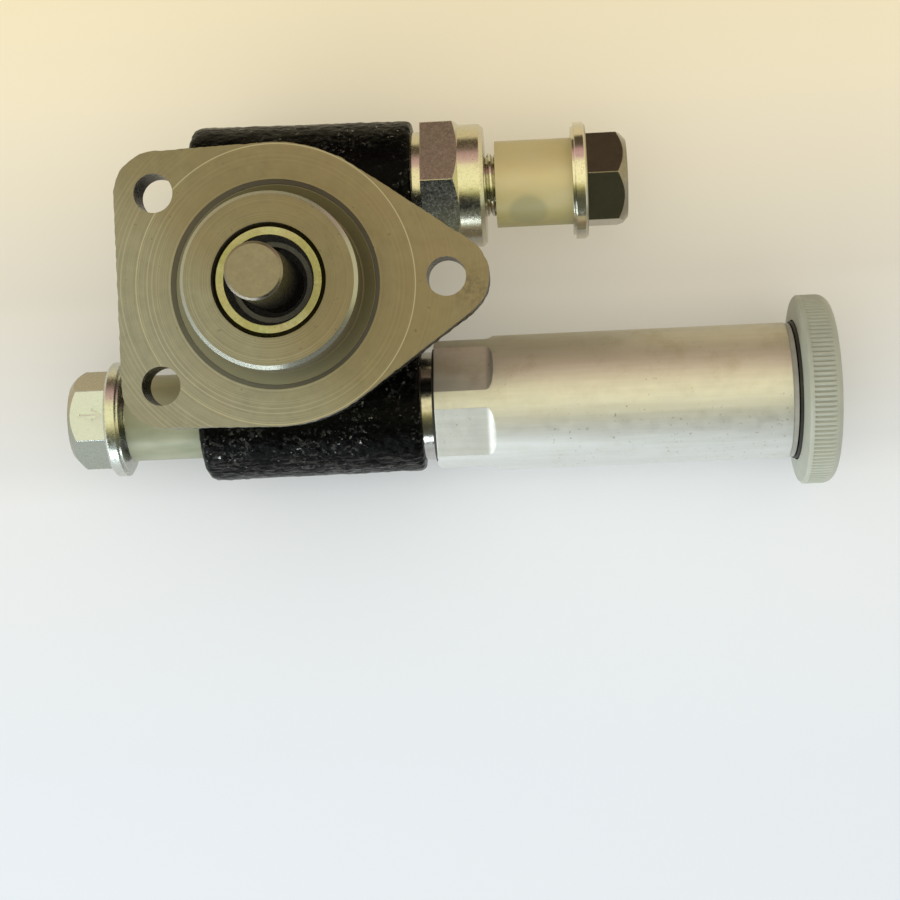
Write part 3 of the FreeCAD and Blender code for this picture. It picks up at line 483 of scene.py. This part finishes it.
def inlet_hexagon_painted_light(finish, base):
    """Painted shade on the inlet bolt's hexagon away from the arrow's face, browner above and greyer below,
    broken by faint scratches; the face that carries the arrow is painted lighter and bluer, a painted
    highlight.
    """
    rise = finish.math("MULTIPLY", finish.math("SUBTRACT", finish.z, INLET.z / MM), math.cos(ARROW_TILT))
    side = finish.math("MULTIPLY", finish.math("SUBTRACT", finish.y, INLET.y / MM), math.sin(ARROW_TILT))
    below = finish.math("SUBTRACT", ARROW_FACE, finish.math("ADD", rise, side))
    hexagon = finish.ramp(finish.math("SUBTRACT", INLET_HEXAGON, finish.x), (0.0, 0.0), (0.2, 1.0))
    away = finish.math("MULTIPLY", finish.ramp(below, (0.05, 0.0), (0.20, 1.0)), hexagon)
    across = finish.math("MULTIPLY_ADD", finish.math("SUBTRACT", finish.y, INLET.y / MM), 0.05, 0.5)
    tone = finish.ramp(across, (0.3, (0.36, 0.37, 0.31)), (0.7, (0.44, 0.39, 0.26)))
    base = finish.mix(finish.math("MULTIPLY", away, scratches_in_shade(finish)), base, tone)
    arrow_face_highlight = finish.math("MULTIPLY", finish.ramp(below, (0.05, 0.85), (0.20, 0.0)), hexagon)
    return finish.mix(arrow_face_highlight, base, (0.50, 0.56, 0.64))


def steel(name, tint, rough=0.3, scale=4.0, contrast=0.7, dark_below=None):
    finish = Finish(name, Metallic=1.0)
    tone = finish.noise(0.5, 5.0, 0.65)
    darker = tuple(value * contrast for value in tint)
    base = finish.mix(finish.ramp(tone, (0.3, 0.0), (0.7, 1.0)), darker, tint)
    if dark_below is not None:
        # Painted shade: below that height the rod is painted darker, where it lies deep in the bore.
        bore_shade = finish.ramp(finish.math("SUBTRACT", dark_below, finish.z), (0.0, 0.0), (0.35, 0.92))
        base = finish.mix(bore_shade, base, tuple(value * 0.2 for value in tint))
    finish.color(base)
    finish.roughness(finish.ramp(finish.noise(1.2, 4.0), (0.3, rough * 0.8), (0.7, rough * 1.4)))
    finish.round_edges(0.2)
    lines = finish.vector(finish.math("MULTIPLY", finish.x, scale), finish.math("MULTIPLY", finish.z, scale))
    finish.bump(finish.noise(1.0, 2.0, 0.6, lines), 0.008, 0.5)
    return finish.material


def aluminium():
    """Satin drawn tube: soft streaks along it, with smudges and a painted darker, browner shade on the upper
    side, and small dark specks.
    """
    finish = Finish("satin_aluminium", Metallic=0.82, Specular_IOR_Level=0.4)
    streaks = finish.noise(1.0, 5.0, 0.6, finish.stretched(0.05, 0.9, 0.9))
    base = finish.mix(finish.ramp(streaks, (0.3, 0.0), (0.7, 1.0)), (0.67, 0.68, 0.67), (0.75, 0.76, 0.765))
    rise = finish.math("SUBTRACT", finish.y, INLET.y / MM)
    upper = finish.ramp(finish.math("MULTIPLY_ADD", rise, 0.033, 0.5), (0.45, 0.25), (0.75, 1.0))
    smudge = finish.math("MULTIPLY", upper,
                         finish.ramp(finish.noise(0.13, 7.0, 0.68), (0.50, 0.0), (0.68, 0.5)))
    base = finish.mix(smudge, base, (0.42, 0.37, 0.28))
    # Painted shade: the upper side is painted darker and browner.
    base = finish.mix(finish.math("MULTIPLY", upper, 0.55), base, (0.46, 0.41, 0.25))
    near = finish.ramp(finish.noise(0.06, 2.0, 0.5), (0.52, 0.0), (0.60, 1.0))
    speck = finish.math("MULTIPLY", near,
                        finish.ramp(finish.noise(0.9, 4.0, 0.65), (0.63, 0.0), (0.68, 0.6)))
    finish.color(finish.mix(speck, base, (0.26, 0.22, 0.17)))
    finish.roughness(finish.ramp(finish.noise(0.4, 5.0, 0.6), (0.3, 0.46), (0.7, 0.58)))
    finish.round_edges(0.25)
    finish.bump(streaks, 0.015, 0.4)
    finish.bump(finish.noise(2.5, 3.0, 0.5), 0.01, 0.5)
    return finish.material


def plastic(name, light, dark, rough=0.42):
    finish = Finish(name, Specular_IOR_Level=0.4)
    tone = finish.noise(0.25, 5.0, 0.6)
    finish.color(finish.mix(finish.ramp(tone, (0.3, 0.0), (0.7, 1.0)), dark, light))
    finish.roughness(finish.ramp(finish.noise(1.0, 4.0), (0.3, rough * 0.85), (0.7, rough * 1.2)))
    finish.bump(finish.noise(2.2, 4.0, 0.55), 0.02, 0.4)
    return finish.material


def milky_plastic(name, axis, tones, hole_x=None):
    """Translucent spacer tube, painted tan above and greener below as painted light and shade, with a
    painted shade where the bolt's cross hole would show through.
    """
    finish = Finish(name, Transmission_Weight=0.40, IOR=1.45, Specular_IOR_Level=0.5)
    across = finish.math("MULTIPLY_ADD", finish.math("SUBTRACT", finish.y, axis.y / MM), 0.05, 0.5)
    tone = finish.ramp(across, *zip((0.05, 0.5, 0.95), tones))
    cloud = finish.noise(0.25, 4.0, 0.5, finish.stretched(0.4, 1.0, 1.0))
    tone = finish.mix(finish.ramp(cloud, (0.35, 0.0), (0.7, 0.3)), tone, (0.84, 0.80, 0.56))
    # Painted shade: a dark spot where the bolt's cross hole would show through the tube.
    if hole_x is not None:
        turn = math.radians(50)
        side = finish.math("SUBTRACT", finish.y, axis.y / MM)
        rise = finish.math("SUBTRACT", finish.z, axis.z / MM)
        over = finish.math("ADD", finish.math("MULTIPLY", side, math.cos(turn)),
                           finish.math("MULTIPLY", rise, math.sin(turn)))
        along = finish.math("SUBTRACT", finish.x, hole_x)
        away = finish.math("SQRT", finish.math("ADD", finish.math("POWER", over, 2.0),
                                               finish.math("POWER", along, 2.0)))
        shade = finish.ramp(finish.math("DIVIDE", away, 10.0), (0.36, 0.55), (0.48, 0.0))
        tone = finish.mix(shade, tone, (0.42, 0.41, 0.22))
    finish.color(tone)
    finish.roughness(finish.ramp(finish.noise(0.8, 3.0), (0.3, 0.30), (0.7, 0.42)))
    finish.bump(finish.noise(1.5, 3.0), 0.02, 0.4)
    return finish.material


def rubber(name="black_rubber", tone=0.02, rough=0.5):
    finish = Finish(name, Specular_IOR_Level=0.4)
    shade = finish.noise(0.8, 4.0)
    finish.color(finish.mix(finish.ramp(shade, (0.3, 0.0), (0.7, 1.0)), (tone, tone, tone * 0.9),
                            (tone * 1.9, tone * 1.8, tone * 1.6)))
    finish.roughness(finish.ramp(finish.noise(1.5, 3.0), (0.3, rough * 0.8), (0.7, rough * 1.2)))
    finish.bump(finish.noise(2.5, 3.0), 0.02, 0.4)
    return finish.material


def dress(material, *names):
    for name in names:
        mesh = nodes[name].data
        mesh.materials.clear()
        mesh.materials.append(material)


# Pieces that take the place of a plainer solid.

JOINED = 0.001 * MM


def stand_in(node, mesh, name):
    """Put a finer mesh in a solid's place, on its body and with its finish."""
    piece = bpy.data.objects.new(name, mesh)
    scene.collection.objects.link(piece)
    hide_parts(node)
    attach(piece, body_of[node])
    return piece


def joined_grid(node):
    """A solid's mesh with its corners joined across faces."""
    grid = bmesh.new()
    grid.from_mesh(nodes[node].data)
    bmesh.ops.remove_doubles(grid, verts=grid.verts, dist=JOINED)
    grid.normal_update()
    return grid


def fresh_mesh(grid, name):
    """A mesh with the grid's shape, finishes, smooth faces and sharp edges alone."""
    grid.verts.index_update()
    mesh = bpy.data.meshes.new(name)
    mesh.from_pydata([vert.co for vert in grid.verts], [],
                     [[vert.index for vert in face.verts] for face in grid.faces])
    mesh.polygons.foreach_set("material_index", [face.material_index for face in grid.faces])
    mesh.shade_smooth()
    sharp = {tuple(sorted(vert.index for vert in edge.verts)) for edge in grid.edges if not edge.smooth}
    for edge in mesh.edges:
        edge.use_edge_sharp = tuple(sorted(edge.vertices)) in sharp
    return mesh


# The casting. A tool has cut its flange face, pilot, seats and bores, and paint covers the rest.
CAST, MACHINED, DRILLED = 0, 1, 2
FACE_DEPTH = 1.05 * MM
CYLINDER_WALL = 13.2 * MM
PORT_WALL = 10.2 * MM
HOLE_WALL = 4.2 * MM
SPOT_WALL = 17.8 * MM
BLIND_END = -15.0 * MM
SQUARE_ON = 0.98
SLACK = 0.1 * MM
SKIN_GRID = 0.5 * MM
SMOOTHING_ROUNDS = 4
SMOOTHING_STEP = 0.5
# What the rough casting has to spare on machined faces, and how far the cutter reaches past it.
ALLOWANCE = 1.0 * MM
OVERRUN = 0.6 * MM
BOSS_OVERRUN = 0.25 * MM
# Waves of the sand-cast skin: waves in a millimetre, and how far they rise, in millimetres.
SKIN_WAVES = ((0.25, 0.09), (0.55, 0.12), (0.95, 0.12))
SHARP_ANGLE = math.radians(30)


def is_blind_end(place):
    """Whether a spot lies on the outlet barrel's closed end, which no tool has touched."""
    return place.y > 0 and place.x < BLIND_END


def is_barrel_end(place, way):
    """Whether a face closes the end of a barrel, square to its axis."""
    ends = (1.0, BARREL_RIGHT), (-1.0, BARREL_LEFT)
    square = any(way.x * side > SQUARE_ON and abs(place.x - end) < SLACK for side, end in ends)
    return square and not is_blind_end(place)


def kind_of(place, way):
    """Tell whether a spot of the casting is cast, cut by a tool or the wall of a drilled hole."""
    if place.z > -FACE_DEPTH:
        return MACHINED
    from_axis = math.hypot(place.x, place.y)
    if from_axis < CYLINDER_WALL:
        return MACHINED
    if place.z < BOSS_Z + SLACK and (way.z < -SQUARE_ON or abs(from_axis - SPOT_WALL) < SLACK):
        return MACHINED
    for axis in (OUTLET, INLET):
        if not is_blind_end(place) and math.hypot(place.y - axis.y, place.z - axis.z) < PORT_WALL:
            return MACHINED
    if any(math.hypot(place.x - hole.x, place.y - hole.y) < HOLE_WALL for hole in FLANGE_HOLES):
        return DRILLED
    return CAST


def offset(grid, moved_kinds, distance_at):
    """Push the faces of some kinds outwards. A corner shared with other faces slides along them."""
    moves = []
    for vert in grid.verts:
        moved = [face.normal for face in vert.link_faces if face.material_index in moved_kinds]
        if not moved:
            continue
        move = Vector()
        for way in moved:
            if all(way.dot(other) < SQUARE_ON for other in [move.normalized()] if move.length):
                move += way
        for face in vert.link_faces:
            if face.material_index not in moved_kinds:
                move -= move.dot(face.normal) * face.normal
        if move.length > SQUARE_ON:
            move.normalize()
        moves.append((vert, move * distance_at(vert.co)))
    for vert, move in moves:
        vert.co += move
    grid.normal_update()


def even_out(places, pairs):
    """Round small steps by moving each corner towards its neighbours."""
    count = np.bincount(pairs.ravel(), minlength=len(places))[:, None]
    for _ in range(SMOOTHING_ROUNDS):
        total = np.zeros_like(places)
        np.add.at(total, pairs[:, 0], places[pairs[:, 1]])
        np.add.at(total, pairs[:, 1], places[pairs[:, 0]])
        places = places + SMOOTHING_STEP * (total / count - places)
    return places


def skin_height(place):
    """Height of the sand-cast skin at a place, in metres."""
    spot = place / MM
    return MM * sum(rise * noise.noise(spot * pitch) for pitch, rise in SKIN_WAVES)


def applied(piece):
    """The mesh that a piece has with its modifiers, in place of the piece."""
    graph = bpy.context.evaluated_depsgraph_get()
    mesh = bpy.data.meshes.new_from_object(piece.evaluated_get(graph))
    bpy.data.objects.remove(piece)
    return mesh


def temporary(mesh, name):
    piece = bpy.data.objects.new(name, mesh)
    scene.collection.objects.link(piece)
    return piece


def read(items, key, width=3, kind=float):
    """An array of one property of a mesh's corners or edges."""
    flat = np.empty(len(items) * width, dtype=kind)
    items.foreach_get(key, flat)
    return flat.reshape(-1, width)


def write(mesh, places):
    mesh.vertices.foreach_set("co", places.ravel())
    mesh.update()


def rough_skin():
    """The casting before it is machined: a fine even grid with a sand-cast skin."""
    grid = joined_grid("housing")
    for face in grid.faces:
        place = face.calc_center_median()
        face.material_index = kind_of(place, face.normal)
    offset(grid, (MACHINED, DRILLED), lambda place: ALLOWANCE)
    blank = temporary(fresh_mesh(grid, "blank"), "blank")
    grid.free()
    remesh = blank.modifiers.new("grid", "REMESH")
    remesh.mode = "VOXEL"
    remesh.voxel_size = SKIN_GRID
    mesh = applied(blank)
    pairs = read(mesh.edges, "vertices", 2, int)
    write(mesh, even_out(read(mesh.vertices, "co"), pairs))
    places = read(mesh.vertices, "co")
    ways = read(mesh.vertices, "normal")
    for number, (place, way) in enumerate(zip(map(Vector, places), map(Vector, ways))):
        if not is_barrel_end(place, way):
            places[number] += way * skin_height(place)
    write(mesh, places)
    return mesh


def cutting_shape():
    """The finished casting with its painted faces pushed out of the way."""
    grid = joined_grid("housing")
    for face in grid.faces:
        face.material_index = kind_of(face.calc_center_median(), face.normal)
    offset(grid, (CAST,), lambda place: OVERRUN if place.z > BOSS_Z + 4 * OVERRUN else BOSS_OVERRUN)
    mesh = fresh_mesh(grid, "cutting_shape")
    grid.free()
    return mesh


def cast_housing(paint, iron):
    """Machine the rough casting: keep what lies inside the cutting shape."""
    casting = temporary(rough_skin(), "casting")
    cutter = temporary(cutting_shape(), "cutter")
    cut = casting.modifiers.new("machining", "BOOLEAN")
    cut.operation = "INTERSECT"
    cut.solver = "MANIFOLD"
    cut.object = cutter
    mesh = applied(casting)
    bpy.data.objects.remove(cutter)
    grid = bmesh.new()
    grid.from_mesh(mesh)
    grid.normal_update()
    for face in grid.faces:
        face.material_index = kind_of(face.calc_center_median(), face.normal)
    for edge in grid.edges:
        both_cast = all(face.material_index == CAST for face in edge.link_faces)
        if not both_cast and edge.calc_face_angle(0.0) > SHARP_ANGLE:
            edge.smooth = False
    finished = fresh_mesh(grid, "housing_casting")
    grid.free()
    for material in (paint, iron, paint):
        finished.materials.append(material)
    stand_in("housing", finished, "housing_casting")


# Cuts in the two hollow bolts: the outlet bolt's thread and the inlet bolt's flow arrow.
THREAD_FROM, THREAD_TO = 41.2 * MM, 46.0 * MM
THREAD_PITCH = 1.5 * MM
THREAD_ROOT = 6.05 * MM
THREAD_RIM = 7.2 * MM
THREAD_HALF_WIDTH = 0.66 * MM
THREAD_STEPS = 48
ARROW_TIP = (-43.8, 0.25)
ARROW_STROKES = ((-48.5, 0.25), (-45.8, 1.40), (-45.8, -0.90))
ARROW_HALF_WIDTH = 0.32
ARROW_DEPTH = 0.10
ARROW_LIFT = 0.30


def solid_from_rings(rings, name):
    """A closed mesh through rings of three points, with flat ends."""
    grid = bmesh.new()
    rows = [[grid.verts.new(point) for point in ring] for ring in rings]
    for before, after in zip(rows, rows[1:]):
        for corner in range(3):
            follow = (corner + 1) % 3
            grid.faces.new((before[corner], before[follow], after[follow], after[corner]))
    grid.faces.new(list(reversed(rows[0])))
    grid.faces.new(rows[-1])
    bmesh.ops.recalc_face_normals(grid, faces=grid.faces)
    mesh = bpy.data.meshes.new(name)
    grid.to_mesh(mesh)
    grid.free()
    return mesh


def thread_groove():
    """A V-shaped groove that runs round the outlet bolt's shank."""
    turns = (THREAD_TO - THREAD_FROM) / THREAD_PITCH
    rings = []
    for step in range(round(turns * THREAD_STEPS) + 1):
        angle = 2 * math.pi * step / THREAD_STEPS
        x = THREAD_FROM + THREAD_PITCH * step / THREAD_STEPS
        out = Vector((0.0, math.cos(angle), math.sin(angle)))
        center = Vector((x, OUTLET.y, OUTLET.z))
        rim = center + THREAD_RIM * out
        aside = Vector((THREAD_HALF_WIDTH, 0.0, 0.0))
        rings.append((rim - aside, rim + aside, center + THREAD_ROOT * out))
    return solid_from_rings(rings, "thread_groove")


def arrow_stroke(start):
    """A V-shaped stroke from start to the arrow's tip, on the inlet bolt's front face."""
    across = Vector((0.0, math.cos(ARROW_TILT), -math.sin(ARROW_TILT)))
    out = Vector((0.0, math.sin(ARROW_TILT), math.cos(ARROW_TILT)))
    foot = INLET / MM + ARROW_FACE * out
    points = [Vector((x, foot.y, foot.z)) + y * across for x, y in (start, ARROW_TIP)]
    aside = (points[1] - points[0]).normalized().cross(out)
    slope = (ARROW_LIFT + ARROW_DEPTH) / ARROW_DEPTH
    rings = [[(point + ARROW_LIFT * out - slope * ARROW_HALF_WIDTH * aside) * MM,
              (point + ARROW_LIFT * out + slope * ARROW_HALF_WIDTH * aside) * MM,
              (point - ARROW_DEPTH * out) * MM] for point in points]
    return solid_from_rings(rings, "arrow_stroke")


def cut_piece(node, cutters, name):
    """A solid with grooves cut in it, in the solid's place."""
    grid = joined_grid(node)
    piece = temporary(fresh_mesh(grid, name), name)
    grid.free()
    for mesh in cutters:
        cutter = temporary(mesh, "cutter")
        cut = piece.modifiers.new("groove", "BOOLEAN")
        cut.operation = "DIFFERENCE"
        cut.solver = "MANIFOLD"
        cut.object = cutter
        piece = temporary(applied(piece), name)
        bpy.data.objects.remove(cutter)
    grid = bmesh.new()
    grid.from_mesh(piece.data)
    bpy.data.objects.remove(piece)
    for edge in grid.edges:
        edge.smooth = edge.calc_face_angle(0.0) < SHARP_ANGLE
    mesh = fresh_mesh(grid, name)
    grid.free()
    mesh.materials.append(nodes[node].data.materials[0])
    stand_in(node, mesh, name)


add_camera()
add_floor()
add_light()

cast_housing(cast_paint(), machined_iron())
dress(zinc("zinc_holder", (0.62, 0.60, 0.49)), "outlet_washer", "outlet_holder")
dress(zinc("zinc_bolt", (0.67, 0.65, 0.56), rough=0.15, painted_light_and_scratches=outlet_hexagon_painted_shade), "outlet_bolt")
dress(zinc("zinc_inlet", (0.58, 0.60, 0.55), rough=0.24, axis=INLET, painted_light_and_scratches=inlet_hexagon_painted_light), "inlet_bolt")
dress(zinc("zinc_plug", (0.58, 0.58, 0.52)), "rear_plug")
dress(zinc("zinc_shell", (0.29, 0.28, 0.14), rough=0.30, corner=0.1), "seal_shell")
dress(steel("bright_steel", (0.56, 0.54, 0.51), rough=0.16), "primer_ring", "piston", "primer_rod")
dress(steel("rod_steel", (0.225, 0.20, 0.16), rough=0.30, contrast=0.85, dark_below=27.6), "push_rod")
dress(steel("spring_steel", (0.35, 0.35, 0.36)),
      "piston_spring", "outlet_valve_spring", "inlet_valve_spring")
dress(steel("bronze", (0.72, 0.50, 0.26)),
      "guide_bush", "rear_gasket", "outlet_valve_seat", "inlet_valve_seat", "inlet_strainer")
dress(rubber(), "primer_gasket", "primer_seal", "knob_gasket")
dress(rubber("seal_rubber", 0.04, 0.25), "rod_seal")
# A spacer's painted light and shade, from its lower side to its upper side.
OUTLET_PAINTED_LIGHT = (0.55, 0.48, 0.19), (0.87, 0.72, 0.34), (0.73, 0.62, 0.30)
INLET_PAINTED_LIGHT = (0.32, 0.35, 0.23), (0.40, 0.41, 0.24), (0.52, 0.47, 0.25)
dress(milky_plastic("outlet_milky_plastic", OUTLET, OUTLET_PAINTED_LIGHT, hole_x=51.7), "outlet_spacer")
dress(milky_plastic("inlet_milky_plastic", INLET, INLET_PAINTED_LIGHT), "inlet_spacer")
dress(aluminium(), "primer_barrel")
dress(plastic("cap_plastic", (0.36, 0.35, 0.31), (0.28, 0.27, 0.24)), "primer_cap")
dress(plastic("valve_plastic", (0.72, 0.69, 0.60), (0.62, 0.59, 0.50)),
      "inlet_valve", "outlet_valve", "primer_piston")
dress(plastic("knob_plastic", (0.40, 0.415, 0.345), (0.355, 0.37, 0.305)), "primer_knob")
cut_piece("outlet_bolt", [thread_groove()], "outlet_bolt_threaded")
cut_piece("inlet_bolt", [arrow_stroke(start) for start in ARROW_STROKES], "inlet_bolt_marked")

scene.view_settings.view_transform = "Standard"
